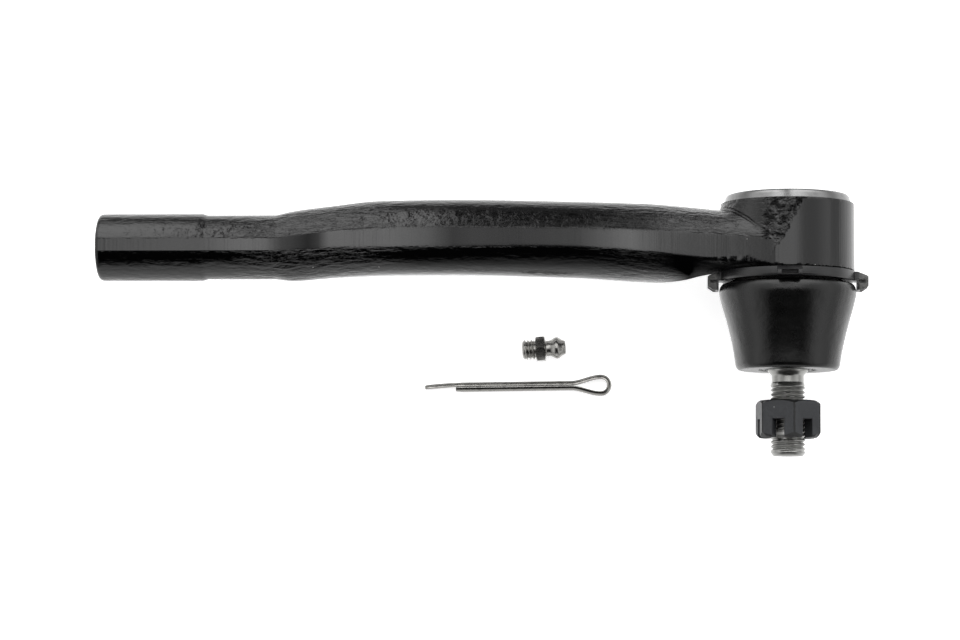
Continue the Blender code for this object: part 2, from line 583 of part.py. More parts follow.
build()
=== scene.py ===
"""Finished look of the tie rod end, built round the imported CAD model.

Pieces are modelled in millimetres about the ball's centre, and onto_body() moves each one to
its place in the row frame: +X towards the housing, -Y along the stud, +Z up from the bench.
"""

import json
import math

import bmesh
import bpy
import numpy as np
from mathutils import Matrix, Vector, noise


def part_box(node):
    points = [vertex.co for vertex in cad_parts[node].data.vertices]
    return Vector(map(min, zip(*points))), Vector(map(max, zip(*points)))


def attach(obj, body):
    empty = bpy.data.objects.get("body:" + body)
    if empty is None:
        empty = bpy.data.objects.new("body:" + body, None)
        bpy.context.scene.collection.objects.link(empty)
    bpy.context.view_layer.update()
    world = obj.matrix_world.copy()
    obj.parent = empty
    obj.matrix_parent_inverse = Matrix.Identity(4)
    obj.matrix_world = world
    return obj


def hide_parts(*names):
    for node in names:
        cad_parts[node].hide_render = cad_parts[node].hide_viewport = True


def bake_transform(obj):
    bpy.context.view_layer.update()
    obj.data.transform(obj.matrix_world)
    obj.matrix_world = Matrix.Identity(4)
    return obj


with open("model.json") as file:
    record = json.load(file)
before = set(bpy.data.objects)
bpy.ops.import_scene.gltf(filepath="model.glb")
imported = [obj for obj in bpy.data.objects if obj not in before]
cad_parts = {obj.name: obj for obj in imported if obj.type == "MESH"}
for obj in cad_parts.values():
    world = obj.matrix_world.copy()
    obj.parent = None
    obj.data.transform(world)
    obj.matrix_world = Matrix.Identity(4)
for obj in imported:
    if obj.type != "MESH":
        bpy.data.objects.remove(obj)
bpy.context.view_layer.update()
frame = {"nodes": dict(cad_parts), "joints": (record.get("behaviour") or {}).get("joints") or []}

MM = 0.001
JOINTS = {joint["name"]: joint for joint in frame["joints"]}
BALL = Vector(JOINTS["stud_spin"]["pos_m"])


def node_box(node):
    """Lowest and highest corner of a CAD node in millimetres from the ball's centre."""
    low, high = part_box(node)
    return (low - BALL) / MM, (high - BALL) / MM


ARM_LOW, ARM_HIGH = node_box("forged_arm")
RING_LOW, RING_HIGH = node_box("boot_retaining_ring")
BOOT_LOW, BOOT_HIGH = node_box("dust_boot")
STUD_LOW, STUD_HIGH = node_box("ball_stud")
NUT_LOW, NUT_HIGH = node_box("castle_nut")
COVER_LOW, COVER_HIGH = node_box("cover_plate")
FLOOR = -BALL.z / MM

# Forging
TUBE_END = ARM_LOW.x
HOUSING_RADIUS = ARM_HIGH.x
ARM_ROOT = -3.8
LIP_TOP = ARM_HIGH.y
TUBE_RADIUS = 9.85
TUBE_STEP = -169.3
TUBE_FLASH = 1.9
WAIST_HALF_HEIGHT = 9.4
WAIST_END = -148.6
HOUSING_BOTTOM = -7.38
HOUSING_SHOULDER = 12.2
LIP_RADIUS = 18.0
SEAT_RADIUS = 15.5
SEAT_FLOOR = -4.4
STUD_OPENING = 9.8
STUD_OPENING_FLARE = 10.4
VOXEL = 0.5
# Against x: height of the forging's parting line, half height of the flat trimmed along it, the painted sheen that sets
# how brightly that flat shines, how wrinkled the skin is, and the powers of the arm's oval section.
PARTING_LINE = [(-205, -0.3), (-148.6, -0.3), (-132, 1.2), (-110, 1.9), (-54, 1.3), (-36, 0.1), (-28, -0.9),
                (-16, -2.3), (-3.8, -3.7)]
FLASH = [(-205, 1.9), (-148.6, 1.9), (-112, 2.8), (-54, 2.8), (-36, 3.2), (-28, 3.5), (-16, 3.8), (-3.8, 3.8)]
FLASH_PAINTED_SHEEN = [(-205, 1.1), (-170, 1.15), (-158, 1.7), (-151, 1.6), (-146, 0.7), (-138, 0.25), (-135, 0.5),
               (-132, 1.6), (-114, 1.6), (-104, 1.2), (-96, 0.5), (-90, 0.62), (-78, 0.55), (-60, 0.7),
               (-54, 1.1), (-45, 1.7), (-37, 1.2), (-3.8, 1.0)]
WRINKLES = [(-205, 0.3), (-165, 0.3), (-150, 1.0), (-126, 1.0), (-112, 0.3), (-58, 0.3), (-44, 1.0), (-22, 1.0),
            (-8, 0.3)]
UPPER_FULLNESS = [(-60, 2.0), (-36, 2.25), (-12, 2.8), (-3.8, 3.0)]
LOWER_FULLNESS = [(-145, 2.0), (-118, 2.6), (-40, 2.6), (-22, 3.6), (-3.8, 3.6)]
# Crease where the arm's skin meets the housing's wall: height against x.
CREASE = [(-19.4, 10.4), (-16, 9.2), (-11.5, 6.2), (-9.7, 4.6), (-4.5, 0.6)]


def clamp01(value):
    return np.clip(value, 0.0, 1.0)


def smooth_max(a, b, width):
    """Larger of a and b, rounded over width."""
    return 0.5 * (a + b + np.sqrt((a - b) ** 2 + width**2))


def smooth_min(a, b, width):
    return -smooth_max(-a, -b, width)


def smooth_step(low, high, value):
    t = clamp01((value - low) / (high - low))
    return t * t * (3 - 2 * t)


def through(stations):
    """Smooth function through (x, value) stations."""
    xs, ys = np.array(sorted(stations)).T
    slopes = np.gradient(ys, xs)

    def value(x):
        i = np.clip(np.searchsorted(xs, x) - 1, 0, len(xs) - 2)
        width = xs[i + 1] - xs[i]
        t = clamp01((x - xs[i]) / width)
        return ((2 * t**3 - 3 * t**2 + 1) * ys[i] + (t**3 - 2 * t**2 + t) * width * slopes[i]
                + (3 * t**2 - 2 * t**3) * ys[i + 1] + (t**3 - t**2) * width * slopes[i + 1])
    return value


# ---------------------------------------------------------------- mesh helpers
def mesh_object(name, bm, smooth_angle=30.0):
    """Object from a bmesh, with outward normals and shading that keeps edges sharper than the angle."""
    bmesh.ops.recalc_face_normals(bm, faces=bm.faces)
    mesh = bpy.data.meshes.new(name)
    bm.to_mesh(mesh)
    bm.free()
    shade(mesh, smooth_angle)
    obj = bpy.data.objects.new(name, mesh)
    bpy.context.scene.collection.objects.link(obj)
    return obj


def shade(mesh, smooth_angle=30.0):
    mesh.shade_smooth()
    mesh.set_sharp_from_angle(angle=math.radians(smooth_angle))


def grid(rows, wrap_rows=False, wrap_columns=True, caps=False):
    """Bmesh of quads over rows of points."""
    bm = bmesh.new()
    verts = [[bm.verts.new(point) for point in row] for row in rows]
    columns = len(rows[0])
    for i in range(len(rows) - (0 if wrap_rows else 1)):
        for j in range(columns - (0 if wrap_columns else 1)):
            k, m = (i + 1) % len(rows), (j + 1) % columns
            bm.faces.new((verts[i][j], verts[i][m], verts[k][m], verts[k][j]))
    if caps:
        bm.faces.new(verts[0])
        bm.faces.new(verts[-1])
    bmesh.ops.remove_doubles(bm, verts=bm.verts, dist=1e-4)
    return bm


def rounded(points, steps=5):
    """Outline with rounded corners from (radius, height, corner size) points."""
    outline = []
    for i, (radius, height, size) in enumerate(points):
        corner = Vector((radius, height))
        if not size:
            outline.append(corner)
            continue
        before = Vector(points[i - 1][:2]) - corner
        after = Vector(points[(i + 1) % len(points)][:2]) - corner
        start = corner + before.normalized() * min(size, before.length / 2)
        end = corner + after.normalized() * min(size, after.length / 2)
        for step in range(steps + 1):
            t = step / steps
            outline.append(start * (1 - t) ** 2 + corner * 2 * t * (1 - t) + end * t**2)
    return outline


def lathe(outline, steps=128, closed=True, shape=None):
    """Bmesh of revolution about Y. shape(radius, height, angle) may change the radius."""
    rows = []
    for radius, height in outline:
        row = []
        for j in range(steps):
            angle = 2 * math.pi * j / steps
            here = shape(radius, height, angle) if shape and radius else radius
            row.append((here * math.sin(angle), height, here * math.cos(angle)))
        rows.append(row)
    return grid(rows, wrap_rows=closed)


def thread(pitch, depth, low, high, runout):
    """Shape for lathe(): a right-hand rounded thread cut depth deep between two heights, fading out over runout."""
    def shape(radius, height, angle):
        if not low < height < high:
            return radius
        phase = height / pitch - angle / (2 * math.pi)
        form = 0.5 - 0.5 * math.cos(2 * math.pi * phase)
        fade = min((height - low) / runout, (high - height) / runout, 1.0)
        return radius - depth * form * fade
    return shape


def ladder(radius, low, high, pitch, per_pitch=12):
    """Outline points up a threaded stretch."""
    count = max(1, round((high - low) / pitch * per_pitch))
    return [(radius, low + (high - low) * i / count) for i in range(count + 1)]


def apply_modifiers(obj):
    """Bake obj's modifiers and remove the objects that they used."""
    tools = [m.object for m in obj.modifiers if getattr(m, "object", None)]
    evaluated = obj.evaluated_get(bpy.context.evaluated_depsgraph_get())
    obj.data = bpy.data.meshes.new_from_object(evaluated)
    obj.modifiers.clear()
    for tool in tools:
        bpy.data.objects.remove(tool)


def boolean(obj, tool, operation="DIFFERENCE"):
    modifier = obj.modifiers.new(tool.name, "BOOLEAN")
    modifier.object = tool
    modifier.operation = operation


def bevel(obj, width, segments=2, angle=35.0):
    modifier = obj.modifiers.new("edges", "BEVEL")
    modifier.width = width
    modifier.segments = segments
    modifier.limit_method = "ANGLE"
    modifier.angle_limit = math.radians(angle)


def onto_body(obj, material, body, *nodes, place=Matrix.Identity(4)):
    """Scale obj to metres, put it in the row frame and let it ride on a body in place of CAD nodes."""
    obj.data.transform(Matrix.Translation(BALL) @ Matrix.Scale(MM, 4) @ place)
    obj.data.materials.clear()
    obj.data.materials.append(material)
    if body:
        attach(obj, body)
    if nodes:
        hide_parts(*nodes)
    return obj


# ---------------------------------------------------------------- materials
class Shader:
    """Builder for a node material whose coordinates are millimetres from the ball's centre."""

    def __init__(self, name):
        self.material = bpy.data.materials.new(name)
        self.material.use_nodes = True
        self.tree = self.material.node_tree
        self.surface = self.tree.nodes["Principled BSDF"]
        place = self.node("ShaderNodeTexCoord").outputs["Object"]
        moved = self.node("ShaderNodeVectorMath", operation="SUBTRACT", inputs=(place, tuple(BALL)))
        self.place = self.node("ShaderNodeVectorMath", operation="SCALE", inputs=(moved.outputs[0],)).outputs[0]
        self.tree.nodes[-1].inputs["Scale"].default_value = 1 / MM
        geometry = self.node("ShaderNodeNewGeometry")
        self.face_normal = geometry.outputs["True Normal"]
        split = self.node("ShaderNodeSeparateXYZ", inputs=(self.place,))
        self.x, self.y, self.z = split.outputs

    def node(self, kind, inputs=(), **settings):
        made = self.tree.nodes.new(kind)
        for key, value in settings.items():
            setattr(made, key, value)
        for i, value in enumerate(inputs):
            self.feed(made.inputs[i], value)
        return made

    def feed(self, socket, value):
        if isinstance(value, bpy.types.NodeSocket):
            self.tree.links.new(value, socket)
        elif isinstance(value, tuple) and socket.type == "RGBA":
            socket.default_value = (*value, 1.0)[:4]
        else:
            socket.default_value = value

    def math(self, operation, *values):
        return self.node("ShaderNodeMath", operation=operation, inputs=values).outputs[0]

    def stretched(self, x=1.0, y=1.0, z=1.0, turn=0.0, vector=None):
        """The place, or vector, turned about Z and then scaled along each axis."""
        mapping = self.node("ShaderNodeMapping", inputs=(vector or self.place,))
        mapping.inputs["Rotation"].default_value = (0, 0, turn)
        mapping.inputs["Scale"].default_value = (x, y, z)
        return mapping.outputs[0]

    def noise(self, size, detail=3.0, vector=None, distortion=0.0):
        """Noise with features of about size millimetres."""
        made = self.node("ShaderNodeTexNoise")
        self.feed(made.inputs["Vector"], vector or self.place)
        made.inputs["Scale"].default_value = 1 / size
        made.inputs["Detail"].default_value = detail
        made.inputs["Distortion"].default_value = distortion
        return made.outputs[0]

    def relief(self, *args, **kwargs):
        """Noise about zero, so that masking it leaves no step."""
        return self.math("SUBTRACT", self.noise(*args, **kwargs), 0.5)

    def window(self, value, start_low, start_high, end_low, end_high):
        return self.math("SUBTRACT", self.band(value, start_low, start_high), self.band(value, end_low, end_high))

    def band(self, value, low, high, start=0.0, end=1.0, linear=False):
        """Ramp from start to end as value goes from low to high."""
        kind = "LINEAR" if linear else "SMOOTHSTEP"
        return self.node("ShaderNodeMapRange", interpolation_type=kind, inputs=(value, low, high, start, end)).outputs[0]

    def mix(self, factor, a, b):
        made = self.node("ShaderNodeMix", data_type="RGBA")
        self.feed(made.inputs[0], factor)
        self.feed(made.inputs[6], a)
        self.feed(made.inputs[7], b)
        return made.outputs[2]

    def specks(self, size, share):
        """Small round specks on about this share of the cells."""
        cells = self.node("ShaderNodeTexVoronoi")
        self.feed(cells.inputs["Vector"], self.place)
        cells.inputs["Scale"].default_value = 1 / size
        near = self.band(cells.outputs["Distance"], 0.05, 0.09, 1.0, 0.0)
        chosen = self.math("LESS_THAN", self.node("ShaderNodeSeparateXYZ", inputs=(cells.outputs["Color"],)).outputs[0],
                           share)
        return self.math("MULTIPLY", near, chosen)

    def along_x(self, stations):
        """Value against x in millimetres, straight between the stations."""
        first, last = stations[0][0], stations[-1][0]
        least, most = min(v for _, v in stations), max(v for _, v in stations)
        made = self.node("ShaderNodeFloatCurve")
        points = made.mapping.curves[0].points
        while len(points) < len(stations):
            points.new(0.5, 0.5)
        for point, (x, value) in zip(points, stations):
            point.location = ((x - first) / (last - first), (value - least) / max(most - least, 1e-6))
            point.handle_type = "VECTOR"
        made.mapping.update()
        self.feed(made.inputs["Value"], self.band(self.x, first, last, linear=True))
        return self.math("MULTIPLY_ADD", made.outputs[0], most - least, least)

    def bump(self, *layers):
        """Chain of bumps from (height, millimetres) pairs, fed to the surface."""
        normal = None
        for height, depth in layers:
            made = self.node("ShaderNodeBump")
            self.feed(made.inputs["Height"], height)
            made.inputs["Distance"].default_value = depth * MM
            if normal:
                self.feed(made.inputs["Normal"], normal)
            normal = made.outputs[0]
        self.set("Normal", normal)

    def set(self, name, value):
        self.feed(self.surface.inputs[name], value)


def black_paint():
    """Gloss paint over a forging: grained skin, wrinkles, trimmed flats and the torn edge of the flash, with a painted
    sheen along the flats and painted shade under and over them.
    """
    m = Shader("black_paint")
    rise = m.math("SUBTRACT", m.y, m.along_x(PARTING_LINE))
    off_flat = m.math("SUBTRACT", m.math("ABSOLUTE", rise), m.along_x(FLASH))
    ragged = m.math("MULTIPLY_ADD", m.noise(1.0, 3.0), 0.8, -0.4)
    flat = m.band(m.math("ADD", off_flat, ragged), -0.1, 0.1, 1.0, 0.0)
    on_arm = m.band(m.x, ARM_ROOT - 1, ARM_ROOT, 1.0, 0.0)
    turned = m.node("ShaderNodeSeparateXYZ", inputs=(m.face_normal,)).outputs[2]
    flats = m.math("MULTIPLY", m.math("MULTIPLY", flat, on_arm), m.band(m.math("ABSOLUTE", turned), 0.9, 0.96))

    # The housing's wall was trimmed too, up to a torn edge that leans over the arm's root.
    edge = m.math("MULTIPLY_ADD", m.y, 0.62, -2.6)
    torn_edge = m.math("MULTIPLY", m.relief(2.2, 4.0), 5.0)
    past_edge = m.math("ADD", m.math("SUBTRACT", m.x, edge), torn_edge)
    trimmed = m.math("MULTIPLY", m.band(past_edge, -0.25, 0.25), m.band(m.x, ARM_ROOT - 2, ARM_ROOT))
    torn = m.math("MULTIPLY", m.math("MULTIPLY", m.band(m.x, -8.5, -6), m.band(past_edge, -0.2, 0.4, 1.0, 0.0)),
                  m.band(m.y, -0.5, 1.5))
    dull_and_painted_shade = m.math("MULTIPLY", torn, m.band(m.noise(2.6, 3.0), 0.42, 0.56))
    # Painted shade: the shine is turned down under the arm's root and under the trimmed flats. A painted dark
    # reflection turns it down over them. The torn edge's own dullness is added in.
    painted_shade_under_root = m.math("MULTIPLY", m.window(m.x, -42, -28, -6, 1), m.band(rise, -3.4, -3.0, 1.0, 0.0))
    deep_root = m.math("MULTIPLY", m.window(m.x, -42, -22, -6, 1), m.band(rise, -4.8, -4.2, 1.0, 0.0))
    painted_shade_under_flat = m.math("MULTIPLY", m.window(m.x, -118, -104, -44, -24), m.window(rise, -10.0, -6.5, -3.2, -2.8))
    painted_shade_over_flat = m.math("MULTIPLY", m.window(m.x, -104, -92, -44, -30), m.window(rise, 2.6, 3.4, 8.0, 12.0))
    dull_and_painted_shade = m.math("ADD", m.math("MULTIPLY", dull_and_painted_shade, 0.8), m.math("ADD", m.math("MULTIPLY", painted_shade_under_root, 0.95), m.math(
        "ADD", m.math("MULTIPLY", painted_shade_under_flat, 0.7), m.math("MULTIPLY", painted_shade_over_flat, 0.55))))
    sheared = m.math("MAXIMUM", flats, trimmed)
    skin = m.math("SUBTRACT", 1.0, sheared)

    lumps = m.relief(3.0, 3.0, distortion=0.8)
    from_crease = m.math("ABSOLUTE", m.math("SUBTRACT", m.y, m.along_x(CREASE)))
    crease = m.math("MULTIPLY", m.band(from_crease, 0.0, 0.9, 1.0, 0.0), m.window(m.x, -21, -19, -5, -4))
    mirrored = m.node("ShaderNodeCombineXYZ", inputs=(m.x, m.math("ABSOLUTE", rise), m.z)).outputs[0]
    wrinkles = m.relief(1.0, 4.0, m.stretched(0.25, 1.2, 0.6, math.radians(-40), mirrored), 0.4)
    wrinkled = m.math("MULTIPLY", skin, m.along_x(WRINKLES))
    stripes = m.relief(1.0, 4.0, m.stretched(1.6, 0.03, 0.03))
    striped = m.band(m.noise(1.0, 1.0, m.stretched(0.06, 0.01, 0.01)), 0.40, 0.60, 0.1, 1.0)
    wide_stripes = m.noise(1.0, 2.0, m.stretched(0.3, 0.01, 0.01))
    paint = m.mix(sheared, (0.0009, 0.0009, 0.001), (0.002, 0.002, 0.0022))
    m.set("Base Color", m.mix(m.math("MULTIPLY", m.specks(2.4, 0.02), 0.6), paint, (0.5, 0.5, 0.48)))
    skin_gloss = m.math("MULTIPLY_ADD", m.noise(2.2, 3.0), 0.1, 0.07)
    sheared_gloss = m.math("MULTIPLY_ADD", wide_stripes, 0.2, 0.1)
    gloss = m.math("MULTIPLY_ADD", skin_gloss, skin, m.math("MULTIPLY", sheared_gloss, sheared))
    m.set("Roughness", m.math("MULTIPLY_ADD", deep_root, 0.6, gloss))
    # Painted sheen: how brightly the flats shine is set along x, and the painted shade is taken off it below.
    shine = m.math("MULTIPLY", m.along_x(FLASH_PAINTED_SHEEN), m.math("MULTIPLY_ADD", wide_stripes, 0.4, 0.8))
    shine = m.math("SUBTRACT", m.math("MULTIPLY", m.math("SUBTRACT", shine, 1.0), flats), dull_and_painted_shade)
    m.set("Specular IOR Level", m.math("MULTIPLY_ADD", shine, 0.5, 0.5))
    m.bump((m.math("MULTIPLY", lumps, skin), 0.13),
           (m.math("MULTIPLY", wrinkles, wrinkled), 0.5),
           (m.math("MULTIPLY", m.relief(2.6, 3.0, distortion=1.5), torn), 1.5),
           (m.math("SUBTRACT", trimmed, crease), 0.35),
           (m.math("MULTIPLY", m.math("MULTIPLY", stripes, sheared), striped), 0.1),
           (m.noise(0.7, 2.0), 0.022))
    return m.material


def ring_paint():
    """Black coating over fine turning lines that run round the ring, with a painted highlight of lighter grey on the
    end ears.
    """
    m = Shader("ring_paint")
    lines = m.noise(1.0, 3.0, m.stretched(0.04, 5.0, 0.04))
    # Painted highlight: the end ears are coloured a lighter grey, patchy with noise.
    painted_light_mask = m.math("MULTIPLY", m.band(m.math("ABSOLUTE", m.x), 20.0, 20.8), m.band(m.noise(1.2, 3.0), 0.3, 0.6, 0.4, 1.0))
    coat = m.mix(painted_light_mask, (0.006, 0.006, 0.0065), (0.1, 0.1, 0.095))
    m.set("Base Color", m.mix(m.specks(5.0, 0.04), coat, (0.3, 0.3, 0.28)))
    m.set("Roughness", m.math("MULTIPLY_ADD", m.noise(1.5), 0.2, 0.24))
    m.bump((lines, 0.05), (m.noise(0.5, 2.0), 0.02))
    return m.material


def rubber():
    """Matt rubber with a faint bloom and dust."""
    m = Shader("rubber")
    bloom = m.noise(7.0, 3.0)
    m.set("Base Color", m.mix(m.specks(4.0, 0.06), m.mix(bloom, (0.0008, 0.0008, 0.0008), (0.0025, 0.0025, 0.0025)),
                              (0.25, 0.25, 0.24)))
    m.set("Roughness", m.math("MULTIPLY_ADD", bloom, 0.12, 0.22))
    m.set("Specular IOR Level", 0.42)
    m.bump((m.noise(0.35, 3.0), 0.03), (m.noise(3.0, 3.0), 0.12))
    return m.material


def steel(name, colour, low_gloss, high_gloss, line_axis=None, line_size=0.12, grime=0.0):
    """Bare or plated metal with grain, tool lines along one axis and darker grime."""
    m = Shader(name)
    patches = m.noise(1.6, 4.0)
    dark = tuple(0.35 * channel for channel in colour)
    m.set("Base Color", m.mix(m.band(patches, 0.45, 0.75, 0.0, grime), colour, dark))
    m.set("Metallic", 1.0)
    m.set("Roughness", m.math("MULTIPLY_ADD", m.noise(0.7, 4.0), high_gloss - low_gloss, low_gloss))
    layers = [(m.noise(0.25, 3.0), 0.012)]
    if line_axis is not None:
        scale = [0.05, 0.05, 0.05]
        scale[line_axis] = 1 / line_size
        layers.insert(0, (m.noise(1.0, 3.0, m.stretched(*scale)), 0.02))
    m.bump(*layers)
    return m.material


def phosphate():
    """Dark grey conversion coat: matt, grainy, with bright nicks, and painted shade darkening the corners and chamfers.
    """
    m = Shader("phosphate")
    grain = m.noise(0.3, 4.0)
    coat = m.mix(grain, (0.014, 0.015, 0.017), (0.036, 0.038, 0.042))
    from_axis = m.node("ShaderNodeVectorMath", inputs=(
        m.node("ShaderNodeCombineXYZ", inputs=(m.x, 0.0, m.z)).outputs[0],), operation="LENGTH").outputs["Value"]
    # Painted shade: the hex corners and the chamfered faces are coloured nearly black.
    corner = m.band(m.math("ADD", from_axis, m.math("MULTIPLY", m.relief(0.8, 3.0), 0.3)), 9.6, 9.7)
    tilt = m.node("ShaderNodeSeparateXYZ", inputs=(m.face_normal,)).outputs[1]
    chamfer = m.window(m.math("ABSOLUTE", tilt), 0.2, 0.3, 0.9, 0.97)
    painted_light_mask = m.math("MAXIMUM", corner, chamfer)
    coat = m.mix(m.math("MULTIPLY", painted_light_mask, 0.85), coat, (0.002, 0.002, 0.002))
    m.set("Base Color", m.mix(m.specks(2.2, 0.12), coat, (0.25, 0.25, 0.24)))
    m.set("Metallic", 0.25)
    m.set("Roughness", m.math("MULTIPLY_ADD", m.noise(1.0), 0.2, 0.42))
    m.bump((grain, 0.035), (m.noise(2.5, 2.0), 0.05))
    return m.material


BLACK_PAINT = black_paint()
RING_PAINT = ring_paint()
RUBBER = rubber()
PHOSPHATE = phosphate()
BARE_STEEL = steel("bare_steel", (0.2, 0.2, 0.2), 0.18, 0.28, 1, 0.5, 0.2)
BRIGHT_STEEL = steel("bright_steel", (0.3, 0.3, 0.29), 0.26, 0.34, None, 0.2, 0.25)
ZINC = steel("zinc", (0.3, 0.295, 0.28), 0.16, 0.32, None, 0.2, 0.5)
NIPPLE = steel("nipple_plate", (0.34, 0.335, 0.32), 0.2, 0.34, None, 0.15, 0.3)
COVER_ZINC = steel("cover_zinc", (0.24, 0.23, 0.2), 0.28, 0.45, None, 0.2, 0.3)
GROUND_STEEL = steel("ground_steel", (0.22, 0.22, 0.225), 0.2, 0.4, 1, 0.15, 0.3)
SPRING_STEEL = steel("spring_steel", (0.1, 0.1, 0.105), 0.25, 0.4, None, 0.2, 0.4)


# ---------------------------------------------------------------- forging
def arm_curves():
    """The arm's top, bottom and half depth against x, read from the CAD model's stations."""
    stations = {}
    for vertex in frame["nodes"]["forged_arm"].data.vertices:
        point = (vertex.co - BALL) / MM
        if point.x < -24.0:
            stations.setdefault(round(point.x, 1), []).append(point)
    top, bottom, depth = [], [], []
    for x, points in stations.items():
        high, low = max(p.y for p in points), min(p.y for p in points)
        if high - low > 1.8 * TUBE_RADIUS:
            top.append((x, high))
            bottom.append((x, low))
            depth.append((x, max(abs(p.z) for p in points)))
    top += [(-20.0, 10.2), (-11.5, 9.8), (ARM_ROOT, 5.0)]
    bottom += [(-22.0, -7.3), (ARM_ROOT, -7.1)]
    depth += [(-12.0, 17.2), (ARM_ROOT, 18.85)]
    return through(top), through(bottom), through(depth)


ARM_TOP, ARM_BOTTOM, ARM_DEPTH = arm_curves()
FORGED_FILLET = 0.8
PARTING_HEIGHT = through(PARTING_LINE)
FLASH_HALF = through(FLASH)
UPPER_POWER = through(UPPER_FULLNESS)
LOWER_POWER = through(LOWER_FULLNESS)


def arm_field(p):
    """Signed distance, roughly, to the arm: an oval cut flat along its parting line."""
    x, y, z = p.T
    rise = y - PARTING_HEIGHT(x)
    half = np.where(rise > 0, ARM_TOP(x) - PARTING_HEIGHT(x), PARTING_HEIGHT(x) - ARM_BOTTOM(x))
    width = ARM_DEPTH(x)
    power = np.where(rise > 0, UPPER_POWER(x), LOWER_POWER(x))
    depth = width / (1 - np.minimum(FLASH_HALF(x) / half, 0.8) ** power) ** (1 / power)
    oval = (np.abs(rise / half) ** power + np.abs(z / depth) ** power) ** (1 / power) - 1
    arm = smooth_max(oval * np.minimum(half, depth), np.abs(z) - width, 0.12)
    return smooth_max(arm, x - ARM_ROOT, 0.1)


def forging_field(p):
    x, y, z = p.T
    wall = np.hypot(x, z) - HOUSING_RADIUS
    ends = np.maximum(y - HOUSING_SHOULDER, HOUSING_BOTTOM - y)
    housing = smooth_max(wall, ends, 0.15)
    return smooth_min(arm_field(p), housing, FORGED_FILLET)


def project(co, field, rounds=4, reach=0.9):
    """Move points onto the surface where field is zero."""
    step = 0.02
    for _ in range(rounds):
        here = field(co)
        gradient = np.stack([(field(co + step * axis) - field(co - step * axis)) / (2 * step) for axis in np.eye(3)], 1)
        length = np.maximum((gradient**2).sum(1), 0.05)
        move = -(here / length)[:, None] * gradient
        size = np.linalg.norm(move, axis=1)
        move *= np.minimum(1.0, reach / np.maximum(size, 1e-9))[:, None]
        co = co + move
    return co


def rough_forging():
    """Low-detail arm and hollow housing, as a start for the voxel mesh."""
    rows = []
    for x in np.linspace(WAIST_END - 1.0, -12.0, 60):
        middle = (ARM_TOP(x) + ARM_BOTTOM(x)) / 2
        half = (ARM_TOP(x) - ARM_BOTTOM(x)) / 2
        depth = ARM_DEPTH(x)
        flatter = 2 / max(UPPER_POWER(x), LOWER_POWER(x)) - 1
        row = []
        for a in (2 * math.pi * j / 96 for j in range(96)):
            up, out = math.cos(a), math.sin(a)
            row.append((x, middle + half * up * abs(up + 1e-6) ** flatter, depth * out * abs(out + 1e-6) ** flatter))
        rows.append(row)
    arm = mesh_object("arm_forging", grid(rows, caps=True))
    ring = [(0, HOUSING_BOTTOM), (HOUSING_RADIUS, HOUSING_BOTTOM), (HOUSING_RADIUS, HOUSING_SHOULDER),
            (0, HOUSING_SHOULDER)]
    boolean(arm, mesh_object("ring_tool", lathe(ring, 96, closed=False)), "UNION")
    past = 2.0
    cavity = [(0, HOUSING_BOTTOM - past), (STUD_OPENING_FLARE + 0.3, HOUSING_BOTTOM - past),
              (STUD_OPENING_FLARE, HOUSING_BOTTOM), (STUD_OPENING, SEAT_FLOOR), (SEAT_RADIUS, SEAT_FLOOR),
              (SEAT_RADIUS, HOUSING_SHOULDER + past), (0, HOUSING_SHOULDER + past)]
    boolean(arm, mesh_object("cavity_tool", lathe(cavity, 96, closed=False)))
    remesh = arm.modifiers.new("voxels", "REMESH")
    remesh.mode = "VOXEL"
    remesh.voxel_size = VOXEL
    apply_modifiers(arm)
    return arm


def build_forging():
    arm = rough_forging()
    mesh = arm.data
    co = np.empty(len(mesh.vertices) * 3)
    mesh.vertices.foreach_get("co", co)
    co = co.reshape(-1, 3)
    hollow = (np.hypot(co[:, 0], co[:, 2]) < SEAT_RADIUS + 1.2) & (co[:, 1] > HOUSING_BOTTOM - 1)
    hollow &= co[:, 0] > -SEAT_RADIUS - 2
    outer = ~hollow & (co[:, 0] > WAIST_END - 0.5)
    co[outer] = project(co[outer], forging_field)
    mesh.vertices.foreach_set("co", co.ravel())
    shade(mesh, 40)
    onto_body(arm, BLACK_PAINT, "housing", "forged_arm")


def build_tube():
    """Round tube end with its flats, the lower waist behind it and the threaded bore."""
    outline = rounded([(6.6, WAIST_END + 0.8, 0), (TUBE_RADIUS, WAIST_END + 0.8, 0),
                       (TUBE_RADIUS, TUBE_STEP + 1.5, 0), (TUBE_RADIUS, TUBE_STEP - 1.5, 0),
                       (TUBE_RADIUS, TUBE_END, 1.7), (7.4, TUBE_END, 0.3), (6.9, TUBE_END + 1.0, 0.2)])
    outline[3:3] = [Vector((TUBE_RADIUS, TUBE_STEP + 1.5 - 0.3 * i)) for i in range(1, 10)]
    bore = [Vector(p) for p in ladder(6.95, TUBE_END + 1.2, TUBE_END + 34.0, 1.5)]
    outline += bore + [Vector((6.2, TUBE_END + 35.0)), Vector((6.2, TUBE_END + 44.0))]
    cut = thread(1.5, 0.75, TUBE_END + 0.9, TUBE_END + 34.5, 1.0)
    flat = math.sqrt(TUBE_RADIUS**2 - TUBE_FLASH**2)

    def shape(radius, height, angle):
        if radius < 7.0:
            return cut(radius, height, angle) if radius > 6.9 else radius
        waist = float(smooth_step(TUBE_STEP - 1.0, TUBE_STEP + 1.0, height))
        half_height = radius - (TUBE_RADIUS - WAIST_HALF_HEIGHT) * waist
        oval = 1 / math.hypot(math.sin(angle) / half_height, math.cos(angle) / radius)
        return min(oval, (flat - TUBE_RADIUS + radius) / max(abs(math.cos(angle)), 0.5))
    bm = lathe(outline, 128, closed=True, shape=shape)
    bmesh.ops.rotate(bm, verts=bm.verts, matrix=Matrix.Rotation(-math.pi / 2, 3, "Z"))
    onto_body(mesh_object("arm_tube_end", bm, 8), BLACK_PAINT, "housing", "forged_arm")


